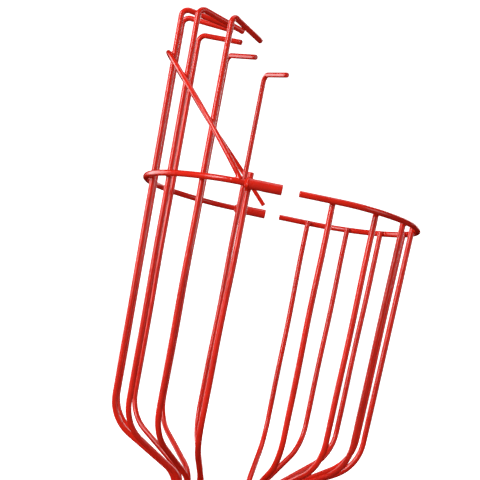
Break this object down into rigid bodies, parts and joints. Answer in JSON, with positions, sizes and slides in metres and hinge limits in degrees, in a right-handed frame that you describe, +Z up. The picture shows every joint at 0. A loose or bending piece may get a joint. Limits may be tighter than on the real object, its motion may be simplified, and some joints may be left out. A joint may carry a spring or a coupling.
{
  "type": "fruit picker basket head",
  "caption": "Red wire fruit-picker head in two plug-together halves, one with inward-hooked picking fingers and a slanted brace hoop, closing on a pole.",
  "frame": {"origin": "centre of the hook half's pole socket at the bottom end of the neck, on the basket's axis", "axes": "+Z up the basket's axis from the pole towards the hooked fingers, +X from the hook half to the plain half along the plug rods, +Y towards the rear sleeve"},
  "size_m": [0.1808, 0.1508, 0.3597],
  "materials": {
    "rim_coat": "gloss red powder coat on steel wire",
    "wire_coat": "gloss red powder coat on steel wire",
    "brace_coat": "gloss red powder coat on steel wire",
    "sleeve_coat": "gloss red powder coat on steel tube",
    "weld_coat": "gloss red powder coat, thick and lumpy over weld metal",
    "socket_coat": "gloss red powder coat on rolled steel sheet"
  },
  "bodies": {
    "hook_half": {"hook_half_rim": "rim_coat", "front_sleeve": "sleeve_coat", "rear_sleeve": "sleeve_coat", "front_sleeve_weld": "weld_coat", "rear_sleeve_weld": "weld_coat", "short_upright": "wire_coat", "finger_1": "wire_coat", "finger_2": "wire_coat", "finger_3": "wire_coat", "finger_4": "wire_coat", "finger_5": "wire_coat", "finger_6": "wire_coat", "finger_7": "wire_coat", "brace_hoop": "brace_coat", "hook_half_socket": "socket_coat"},
    "plain_half": {"plain_half_rim": "rim_coat", "plain_upright_1": "wire_coat", "plain_upright_2": "wire_coat", "plain_upright_3": "wire_coat", "plain_upright_4": "wire_coat", "plain_upright_5": "wire_coat", "plain_upright_6": "wire_coat", "plain_upright_7": "wire_coat", "plain_upright_8": "wire_coat", "plain_half_socket": "socket_coat"}
  },
  "joints": [
    {"name": "halves_pull_apart", "type": "slide", "parent": "hook_half", "child": "plain_half", "axis": [1, 0, 0], "range_m": [-0.023, 0.017]}
  ]
}
